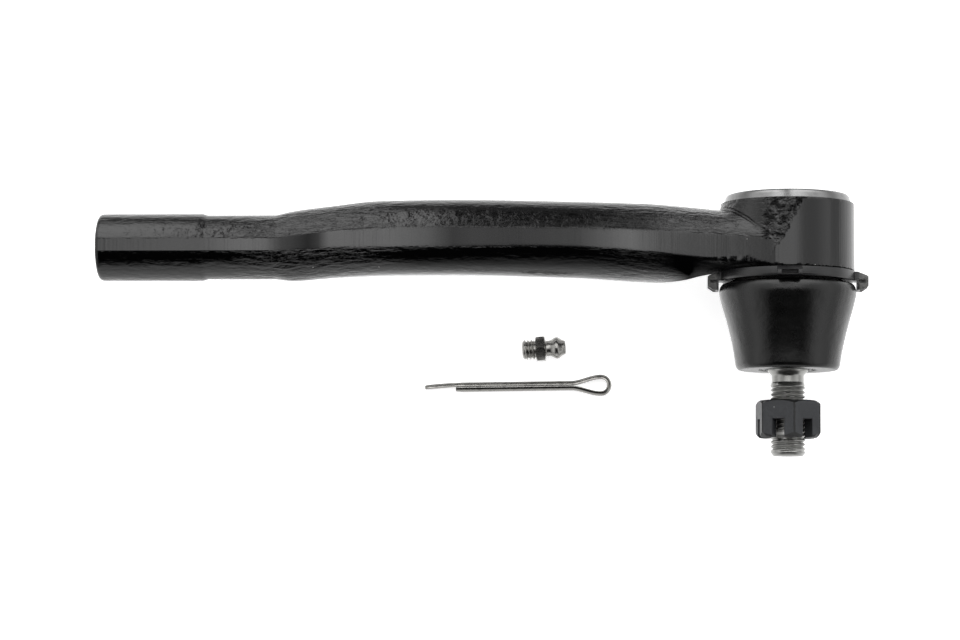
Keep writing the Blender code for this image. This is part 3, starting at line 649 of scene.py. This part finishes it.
def build_lip():
    """Bare steel lip, rolled in over the cover plate."""
    seat_top = COVER_HIGH.y + 0.12
    outline = rounded([(16.4, HOUSING_SHOULDER - 0.9, 0), (LIP_RADIUS + 0.35, HOUSING_SHOULDER - 0.9, 0),
                       (LIP_RADIUS - 0.2, LIP_TOP - 0.3, 1.0), (16.3, LIP_TOP, 0.6), (14.4, LIP_TOP - 0.25, 0.5),
                       (14.5, seat_top, 0.1), (16.4, seat_top, 0)])
    lip = mesh_object("rolled_lip", lathe(outline, 192))
    onto_body(lip, BARE_STEEL, "housing", "forged_arm")


def build_cover():
    """Cover plate with a raised rim, a pressed ring and the hole for the grease fitting."""
    low, high = COVER_LOW.y, COVER_HIGH.y
    outline = rounded([(3.1, low, 0.1), (COVER_HIGH.x, low, 0.1), (COVER_HIGH.x, high, 0.3), (11.2, high, 0.5),
                       (10.2, high - 0.5, 0.5), (6.6, high - 0.5, 0.5), (5.8, high, 0.5), (3.4, high, 0.15),
                       (3.1, high - 0.3, 0.1)])
    cover = mesh_object("cover_plate_finished", lathe(outline, 128))
    onto_body(cover, COVER_ZINC, "housing", "cover_plate")


# ---------------------------------------------------------------- boot and its ring
EAR_WIDTH = 7.0
EAR_SLOT_WIDTH = 4.8
END_EAR_BOTTOM = RING_LOW.y
RING_HEIGHT = 2.8


def ear_tool(name, outline, width, turn):
    """Prism of a (radius, height) outline, turned about Y."""
    rows = [[(radius, height, z) for radius, height in outline] for z in (-width / 2, width / 2)]
    bm = grid(rows, caps=True)
    bmesh.ops.rotate(bm, verts=bm.verts, matrix=Matrix.Rotation(turn, 3, "Y"))
    return mesh_object(name, bm)


def build_boot_ring():
    """Ring with four slotted ears, of which the two along the arm hang lower and have a slit."""
    high, reach = RING_HIGH.y, RING_HIGH.x
    low = high - RING_HEIGHT
    outline = rounded([(16.4, low, 0.2), (19.2, low, 0.25), (19.45, low + 0.5, 0.3), (19.4, high, 0.3),
                       (16.4, high, 0.2)], 3)
    ring = mesh_object("boot_ring", lathe(outline, 192))
    top = [(18.0, high - 0.15), (19.9, high - 0.15), (reach - 0.6, high - 1.1), (reach, high - 1.5)]
    side_ear = top + [(reach, low + 0.5), (reach - 0.4, low + 0.15), (18.0, low + 0.15)]
    end_ear = top + [(reach, END_EAR_BOTTOM + 1.1), (reach - 1.6, END_EAR_BOTTOM), (19.8, END_EAR_BOTTOM),
                     (19.8, low + 0.1), (18.0, low + 0.1)]
    inner, below = reach - 2.3, END_EAR_BOTTOM - 1
    window = [(inner, below), (reach + 1, below), (reach + 1, low + 1.35), (inner, low + 1.35)]
    slit = [(20.3, low - 0.6), (22.3, low - 0.6), (22.3, low + 0.4), (20.3, low + 0.4)]
    web = [(20.1, low - 1.0), (22.6, low - 1.0), (22.6, low + 0.9), (20.1, low + 0.9)]
    for i in range(4):
        turn = math.pi / 2 * i
        along_arm = i % 2 == 0
        boolean(ring, ear_tool(f"ear_{i}", end_ear if along_arm else side_ear, EAR_WIDTH, turn), "UNION")
        boolean(ring, ear_tool(f"window_{i}", window, EAR_SLOT_WIDTH, turn))
        if along_arm:
            boolean(ring, ear_tool(f"slit_{i}", slit, EAR_WIDTH + 1, turn))
            boolean(ring, ear_tool(f"web_{i}", web, 1.5, turn), "UNION")
    bevel(ring, 0.18, 2, 50)
    apply_modifiers(ring)
    shade(ring.data)
    onto_body(ring, RING_PAINT, "housing", "boot_retaining_ring")


def build_boot():
    """Rubber cone whose wall flares out under the ring and turns in to a lip round the stud."""
    low, high = BOOT_LOW.y, BOOT_HIGH.y
    outer = [(15.9, high, 0.2), (15.9, -10.9, 0.4), (18.7, -11.0, 0.5), (19.5, -12.0, 0.8), (19.75, -13.9, 1.0),
             (18.6, -18.2, 3.5), (17.4, -22.0, 3.0), (15.6, -29.5, 3.0), (14.9, low + 1.1, 0.4), (14.3, low, 0.7),
             (8.6, low, 0.25), (8.3, low + 0.45, 0.2), (7.4, low + 0.45, 0.2), (7.1, low, 0.25),
             (6.45, low + 0.05, 0.25)]
    inner = [(6.4, low + 1.3, 0), (12.9, low + 1.5, 0.6), (13.6, -33.0, 0.6), (15.6, -21.0, 1.5), (17.3, -13.4, 0.8),
             (14.3, -12.2, 0.5), (14.3, high, 0.2)]
    outline = []
    for near, far in zip(*(lambda points: (points, points[1:] + points[:1]))(rounded(outer + inner, 4))):
        pieces = max(1, round((far - near).length / 1.4))
        outline += [near.lerp(far, i / pieces) for i in range(pieces)]

    def shape(radius, height, angle):
        wave = noise.noise(Vector((2.5 * math.sin(angle), 2.5 * math.cos(angle), height * 0.09)))
        away_from_ring = clamp01((-12.5 - height) / 6)
        return radius + 0.22 * wave * away_from_ring * (1 if radius > 9 else 0)
    boot = mesh_object("rubber_boot", lathe(outline, 144, shape=shape), 35)
    for i in range(6):
        bm = bmesh.new()
        bmesh.ops.create_cube(bm, size=1)
        bmesh.ops.scale(bm, verts=bm.verts, vec=(1.1, 0.9, 2.6))
        bmesh.ops.translate(bm, verts=bm.verts, vec=(0, low, 7.2))
        bmesh.ops.rotate(bm, verts=bm.verts, matrix=Matrix.Rotation(math.pi / 3 * i + 0.3, 3, "Y"))
        boolean(boot, mesh_object(f"notch_{i}", bm))
    apply_modifiers(boot)
    shade(boot.data, 35)
    onto_body(boot, RUBBER, None, "dust_boot")
    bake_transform(boot)


# ---------------------------------------------------------------- stud and nut
THREAD_START = -40.2
THREAD_RADIUS = 5.0
THREAD_PITCH = 1.25
THREAD_DEPTH = 0.62
COTTER_HOLE_Y = -54.6
COTTER_HOLE_RADIUS = 1.6
COTTER_HOLE_TURN = math.radians(-28.0)
NUT_TURN = math.radians(-20.9)


def rod(name, radius, length, centre, turn, steps=32):
    """Cylinder across the Y axis, pointing along +Z before it is turned about Y."""
    bm = bmesh.new()
    bmesh.ops.create_cone(bm, cap_ends=True, segments=steps, radius1=radius, radius2=radius, depth=length)
    bmesh.ops.rotate(bm, verts=bm.verts, matrix=Matrix.Rotation(turn, 3, "Y"))
    bmesh.ops.translate(bm, verts=bm.verts, vec=centre)
    return mesh_object(name, bm)


def build_stud():
    end = STUD_LOW.y
    ball = STUD_HIGH.x
    flat = STUD_HIGH.y
    neck_low = -math.sqrt(ball**2 - 36)
    first, last = math.asin(neck_low / ball), math.asin(flat / ball)
    ball_line = [Vector((ball * math.cos(a), ball * math.sin(a))) for a in np.linspace(last, first, 28)]
    shank = rounded([(6.0, neck_low, 0), (6.0, -17.5, 0.8), (6.85, -19.0, 0.5), (5.78, -36.2, 0.3), (4.6, -37.3, 0.4),
                     (4.6, THREAD_START + 0.5, 0.4)])
    threads = [Vector(p) for p in reversed(ladder(THREAD_RADIUS, end + 1.1, THREAD_START, THREAD_PITCH))]
    tip = rounded([(THREAD_RADIUS, end + 1.0, 0.1), (4.2, end, 0.3), (2.4, end + 0.05, 0.4), (1.6, end + 0.5, 0.3)])
    outline = [Vector((0, flat))] + ball_line + shank + threads + tip + [Vector((0, end + 0.7))]
    cut = thread(THREAD_PITCH, THREAD_DEPTH, end + 0.9, THREAD_START + 0.3, 1.2)
    stud = mesh_object("threaded_stud", lathe(outline, 96, closed=False, shape=cut), 40)
    boolean(stud, rod("hole", COTTER_HOLE_RADIUS, 20, (0, COTTER_HOLE_Y, 0), COTTER_HOLE_TURN))
    apply_modifiers(stud)
    shade(stud.data, 40)
    onto_body(stud, BRIGHT_STEEL, "stud", "ball_stud")


def build_nut():
    low, high = NUT_LOW.y, NUT_HIGH.y
    bm = bmesh.new()
    bmesh.ops.create_cone(bm, cap_ends=True, segments=6, radius1=17 / math.sqrt(3), radius2=17 / math.sqrt(3),
                          depth=high - low)
    bmesh.ops.rotate(bm, verts=bm.verts, matrix=Matrix.Rotation(math.pi / 2, 3, "X"))
    bmesh.ops.rotate(bm, verts=bm.verts, matrix=Matrix.Rotation(math.pi / 6 + NUT_TURN, 3, "Y"))
    bmesh.ops.translate(bm, verts=bm.verts, vec=(0, (low + high) / 2, 0))
    nut = mesh_object("slotted_nut", bm)
    chamfers = [(0, low), (8.15, low), (12.0, low + 3.4), (12.0, high - 2.5), (8.1, high), (0, high)]
    boolean(nut, mesh_object("chamfers", lathe([Vector(p) for p in chamfers], 128, closed=False)), "INTERSECT")
    bore = ([Vector((0, low - 1)), Vector((6.6, low - 1)), Vector((5.6, low + 0.1))]
            + [Vector(p) for p in ladder(5.55, low + 0.2, high - 0.2, THREAD_PITCH, 6)]
            + [Vector((5.6, high - 0.1)), Vector((6.6, high + 1)), Vector((0, high + 1))])
    boolean(nut, mesh_object("nut_bore", lathe(bore, 64, closed=False,
                                               shape=thread(THREAD_PITCH, 0.42, low - 0.5, high + 0.5, 0.3))))
    for i in range(3):
        bm = bmesh.new()
        bmesh.ops.create_cube(bm, size=1)
        bmesh.ops.scale(bm, verts=bm.verts, vec=(3.6, 10.6, 30))
        bmesh.ops.rotate(bm, verts=bm.verts, matrix=Matrix.Rotation(NUT_TURN + math.pi / 3 * i, 3, "Y"))
        bmesh.ops.translate(bm, verts=bm.verts, vec=(0, low, 0))
        boolean(nut, mesh_object(f"slot_{i}", bm))
    apply_modifiers(nut)
    bevel(nut, 0.12, 2, 45)
    apply_modifiers(nut)
    shade(nut.data, 35)
    onto_body(nut, PHOSPHATE, "nut", "castle_nut")


# ---------------------------------------------------------------- loose pieces
PIN_LOW, PIN_HIGH = node_box("cotter_pin")
PIN_WIRE = (PIN_HIGH.z - PIN_LOW.z) / 2
PIN_TURN = math.radians(0.9)
PIN_LONG_LEG = 43.4
PIN_SHORT_LEG = 34.3
PIN_TAIL_BEND = 0.6
PIN_EYE_LENGTH = 11.9
PIN_EYE_RADIUS = 1.8


def pin_line():
    """Inner line of the pin's wire, from the long leg's end round the eye to the short one's."""
    centre = Vector((PIN_EYE_LENGTH - PIN_WIRE - PIN_EYE_RADIUS, 0))
    gap = 0.05
    tail = [Vector((x, gap - PIN_TAIL_BEND * (-x - PIN_SHORT_LEG) / (PIN_LONG_LEG - PIN_SHORT_LEG)))
            for x in np.linspace(-PIN_LONG_LEG, -PIN_SHORT_LEG, 6)[:-1]]
    leg = [Vector((x, gap)) for x in np.linspace(-PIN_SHORT_LEG, 0, 20)]
    for t in np.linspace(0, 1, 15)[1:]:
        leg.append(Vector((centre.x * t, gap + (PIN_EYE_RADIUS - gap) * t * t * (3 - 2 * t))))
    arc = [centre + PIN_EYE_RADIUS * Vector((math.sin(a), math.cos(a))) for a in np.linspace(0, math.pi, 20)[1:-1]]
    return tail + leg + arc + [Vector((p.x, -p.y)) for p in reversed(leg)]


def build_pin():
    rows = []
    line = pin_line()
    for i, point in enumerate(line):
        along = line[min(i + 1, len(line) - 1)] - line[max(i - 1, 0)]
        outward = Vector((-along.y, along.x)).normalized()
        from_tip = min((point - line[0]).length, (point - line[-1]).length)
        size = PIN_WIRE * (1 - 0.12 * (1 - clamp01(from_tip / 1.2)) ** 2)
        row = []
        for a in np.linspace(0, math.pi, 15):
            p = point + outward * size * math.sin(a)
            row.append((p.x, p.y, size * math.cos(a)))
        rows.append(row)
    pin = mesh_object("split_pin", grid(rows, caps=True), 40)
    bevel(pin, 0.12, 2, 60)
    apply_modifiers(pin)
    shade(pin.data, 40)
    # The node's box is as long as the pin and as high as its eye.
    middle = (PIN_LOW + PIN_HIGH) / 2
    eye = PIN_EYE_LENGTH - PIN_WIRE - PIN_EYE_RADIUS
    crotch = middle - Vector(((PIN_EYE_LENGTH - PIN_LONG_LEG) / 2, eye * math.sin(PIN_TURN), 0))
    place = Matrix.Translation(crotch) @ Matrix.Rotation(PIN_TURN, 4, "Z")
    onto_body(pin, ZINC, "pin", "cotter_pin", place=place)


FITTING_TURN = math.radians(4.0)
FITTING_LENGTH = 12.8
HEX_MIDDLE = 5.4


def build_fitting():
    outline = rounded([(1.5, 0, 0), (2.3, 0, 0.1), (2.95, 0.6, 0.1)])
    outline += [Vector(p) for p in ladder(3.0, 0.7, 3.4, 1.0, 10)]
    outline += rounded([(2.5, 3.5, 0.1), (2.5, 3.95, 0.1), (3.3, 3.95, 0.1), (3.3, 6.85, 0.1), (2.35, 6.95, 0.4),
                        (2.3, 8.3, 0.7), (3.2, 9.7, 0.5), (3.25, 10.5, 0.4), (2.3, 11.8, 0.4), (1.9, 12.8, 0.35),
                        (0.75, 12.8, 0.15), (0.75, 11.9, 0), (1.5, 11.0, 0)])
    cut = thread(1.0, 0.55, 0.5, 3.7, 0.5)
    body = mesh_object("grease_nipple", lathe(outline, 72, shape=lambda r, h, a: cut(r, h, a) if r > 2.8 else r))
    bm = bmesh.new()
    bmesh.ops.create_cone(bm, cap_ends=True, segments=6, radius1=7 / math.sqrt(3), radius2=7 / math.sqrt(3), depth=2.9)
    bmesh.ops.rotate(bm, verts=bm.verts, matrix=Matrix.Rotation(math.pi / 2, 3, "X"))
    bmesh.ops.rotate(bm, verts=bm.verts, matrix=Matrix.Rotation(math.pi / 3, 3, "Y"))
    bmesh.ops.translate(bm, verts=bm.verts, vec=(0, 5.4, 0))
    hexagon = mesh_object("hexagon", bm)
    chamfers = [(0, 3.95), (3.45, 3.95), (4.4, 4.5), (4.4, 6.3), (3.45, 6.85), (0, 6.85)]
    boolean(hexagon, mesh_object("hex_chamfers", lathe([Vector(p) for p in chamfers], 64, closed=False)), "INTERSECT")
    apply_modifiers(hexagon)
    boolean(body, hexagon, "UNION")
    tool = [Vector(p) for p in ((0, 3.0), (1.5, 3.0), (1.5, 8.0), (0, 8.0))]
    boolean(body, mesh_object("clear_bore", lathe(tool, 48, closed=False)))
    apply_modifiers(body)
    bevel(body, 0.07, 2, 40)
    apply_modifiers(body)
    shade(body.data, 35)
    # The node's box is as long as the fitting and as high as its hexagon.
    low, high = node_box("grease_fitting_body")
    along = Vector((FITTING_LENGTH / 2, HEX_MIDDLE * math.sin(FITTING_TURN), 0))
    place = Matrix.Translation((low + high) / 2 - along) @ Matrix.Rotation(FITTING_TURN - math.pi / 2, 4, "Z")
    onto_body(body, NIPPLE, "fitting", "grease_fitting_body", place=place)


for build_piece in (build_forging, build_tube, build_lip, build_cover, build_boot_ring, build_boot, build_stud,
                    build_nut, build_pin, build_fitting):
    build_piece()


HIDDEN_NODES = {"upper_bearing": GROUND_STEEL, "lower_bearing": GROUND_STEEL, "preload_spring": SPRING_STEEL,
                "boot_lip_ring": ZINC, "fitting_check_ball": NIPPLE, "fitting_check_spring": SPRING_STEEL}
for node, material in HIDDEN_NODES.items():
    frame["nodes"][node].data.materials.clear()
    frame["nodes"][node].data.materials.append(material)


# ---------------------------------------------------------------- studio
FLOOR_SIZE = 6.0
FLOOR_GAP = 0.0004
FLOOR_GLOW = 0.7


def build_floor():
    bpy.ops.mesh.primitive_plane_add(size=FLOOR_SIZE, location=(0, 0, -FLOOR_GAP))
    floor = bpy.context.object
    floor.name = "floor"
    material = bpy.data.materials.new("white_floor")
    material.use_nodes = True
    shader = material.node_tree.nodes["Principled BSDF"]
    shader.inputs["Base Color"].default_value = (0.93, 0.93, 0.93, 1)
    shader.inputs["Roughness"].default_value = 0.7
    shader.inputs["Emission Color"].default_value = (1, 1, 1, 1)
    shader.inputs["Emission Strength"].default_value = FLOOR_GLOW
    floor.data.materials.append(material)
    floor.visible_glossy = False


def ramp(tree, value, stops):
    """Colour ramp over degrees from the zenith; stops are (degrees, brightness)."""
    made = tree.nodes.new("ShaderNodeFloatCurve")
    curve = made.mapping.curves[0]
    brightest = max(level for _, level in stops)
    points = curve.points
    while len(points) < len(stops):
        points.new(0.5, 0.5)
    for point, (degrees, level) in zip(points, stops):
        point.location = (degrees / 180, level / brightest)
        point.handle_type = "VECTOR"
    made.mapping.update()
    tree.links.new(value, made.inputs["Value"])
    scaled = tree.nodes.new("ShaderNodeMath")
    scaled.operation = "MULTIPLY"
    scaled.inputs[1].default_value = brightest
    tree.links.new(made.outputs[0], scaled.inputs[0])
    return scaled.outputs[0]


SEEN_BACKGROUND = 1.0
# Brightness of the studio against degrees from straight up, towards each side.
TOWARDS_COVER = [(0, 2.3), (8, 2.3), (34, 3.1), (66, 3.2), (78, 2.5), (88, 1.4), (97, 0.25), (108, 0.25),
                 (120, 1.3), (140, 1.5), (180, 1.5)]
TOWARDS_STUD = [(0, 2.3), (60, 0.3), (74, 0.9), (94, 1.2), (180, 1.15)]
TOWARDS_ENDS = [(0, 2.0), (16, 2.0), (28, 0.9), (50, 1.0), (74, 1.5), (84, 0.8), (98, 0.8), (110, 1.5), (180, 1.8)]
# Sines of the angles towards X between which the lights on the cover's side leave a gap.
BANK_GAP = (-0.15, -0.085, 0.01, 0.07)
BANK_GAP_LIGHT = 0.03
BANK_GAP_FLOOR = (-0.1, 0.1)
BANK_GAP_LOW = (0.12, 0.3)
# The dark gap overhead: sines of its angles towards the stud, and how far it reaches to each end.
DARK_GAP = (0.05, 0.12, 0.83, 0.93)
DARK_GAP_REACH = (0.5, 0.85)


class World:
    """Builder for the nodes of the studio's light, which depends only on direction."""

    def __init__(self):
        self.world = bpy.data.worlds.new("studio")
        self.world.use_nodes = True
        self.tree = self.world.node_tree
        direction = self.tree.nodes.new("ShaderNodeTexCoord").outputs["Generated"]
        split = self.tree.nodes.new("ShaderNodeSeparateXYZ")
        self.tree.links.new(direction, split.inputs[0])
        self.x, self.y, self.z = split.outputs
        self.angle = self.math("DIVIDE", self.math("ARCCOSINE", self.z), math.pi)

    def math(self, operation, *values):
        made = self.tree.nodes.new("ShaderNodeMath")
        made.operation = operation
        for i, value in enumerate(values):
            if isinstance(value, bpy.types.NodeSocket):
                self.tree.links.new(value, made.inputs[i])
            else:
                made.inputs[i].default_value = value
        return made.outputs[0]

    def blend(self, share, a, b):
        """A where share is 0 and b where it is 1."""
        return self.math("ADD", self.math("MULTIPLY", a, self.math("SUBTRACT", 1.0, share)),
                         self.math("MULTIPLY", b, share))

    def step(self, value, low, high):
        made = self.tree.nodes.new("ShaderNodeMapRange")
        made.interpolation_type = "SMOOTHSTEP"
        self.tree.links.new(value, made.inputs["Value"])
        made.inputs["From Min"].default_value = low
        made.inputs["From Max"].default_value = high
        return made.outputs[0]

    def window(self, value, start_low, start_high, end_low, end_high):
        return self.math("SUBTRACT", self.step(value, start_low, start_high), self.step(value, end_low, end_high))

    def ramp(self, stops):
        """Brightness from (degrees from straight up, brightness) stops."""
        made = self.tree.nodes.new("ShaderNodeFloatCurve")
        points = made.mapping.curves[0].points
        while len(points) < len(stops):
            points.new(0.5, 0.5)
        brightest = max(level for _, level in stops)
        for point, (degrees, level) in zip(points, stops):
            point.location = (degrees / 180, level / brightest)
            point.handle_type = "VECTOR"
        made.mapping.update()
        self.tree.links.new(self.angle, made.inputs["Value"])
        return self.math("MULTIPLY", made.outputs[0], brightest)


def build_studio():
    """Bright banks towards +Y, a dark gap overhead towards the stud and soft ends."""
    w = World()
    gap = w.math("MULTIPLY", w.window(w.x, *BANK_GAP), w.step(w.y, *BANK_GAP_LOW))
    gap = w.math("MULTIPLY", gap, w.step(w.z, *BANK_GAP_FLOOR))
    bank = w.math("MULTIPLY", w.ramp(TOWARDS_COVER), w.blend(gap, 1.0, BANK_GAP_LIGHT))
    along_y = w.blend(w.math("GREATER_THAN", w.y, 0.0), w.ramp(TOWARDS_STUD), bank)
    x4 = w.math("POWER", w.math("ABSOLUTE", w.x), 4.0)
    y4 = w.math("POWER", w.math("ABSOLUTE", w.y), 4.0)
    share = w.math("DIVIDE", y4, w.math("ADD", w.math("ADD", x4, y4), 1e-6))
    light = w.blend(share, w.ramp(TOWARDS_ENDS), along_y)
    across = w.window(w.math("MULTIPLY", w.y, -1.0), *DARK_GAP)
    reach = w.math("SUBTRACT", 1.0, w.step(w.math("ABSOLUTE", w.x), *DARK_GAP_REACH))
    dark = w.math("MULTIPLY", w.math("MULTIPLY", across, reach), w.math("GREATER_THAN", w.z, 0.0))
    light = w.math("MULTIPLY", light, w.math("SUBTRACT", 1.0, dark))
    background = w.tree.nodes["Background"]
    background.inputs["Color"].default_value = (1, 1, 1, 1)
    to_camera = w.tree.nodes.new("ShaderNodeLightPath").outputs["Is Camera Ray"]
    w.tree.links.new(w.blend(to_camera, light, SEEN_BACKGROUND), background.inputs["Strength"])
    bpy.context.scene.world = w.world


VIEW_TILT_X = math.radians(4)
VIEW_TILT_Y = math.radians(5)
DISTANCE = 870.0
VIEW_CENTRE = Vector((-88.8, -21.3, 0))
LENS = 112.5


def build_camera():
    data = bpy.data.cameras.new("camera")
    camera = bpy.data.objects.new("camera", data)
    bpy.context.scene.collection.objects.link(camera)
    away = Vector((math.sin(VIEW_TILT_X), -math.sin(VIEW_TILT_Y), 1.0))
    away.z = math.sqrt(1 - away.x**2 - away.y**2)
    side = (Vector((1, 0, 0)) - away.x * away).normalized()
    up = away.cross(side)
    camera.location = BALL + (VIEW_CENTRE + away * DISTANCE) * MM
    camera.rotation_euler = Matrix((side, up, away)).transposed().to_euler()
    data.lens = LENS
    data.clip_start = 0.01
    bpy.context.scene.camera = camera


build_floor()
build_studio()
build_camera()
bpy.context.scene.view_settings.view_transform = "Standard"
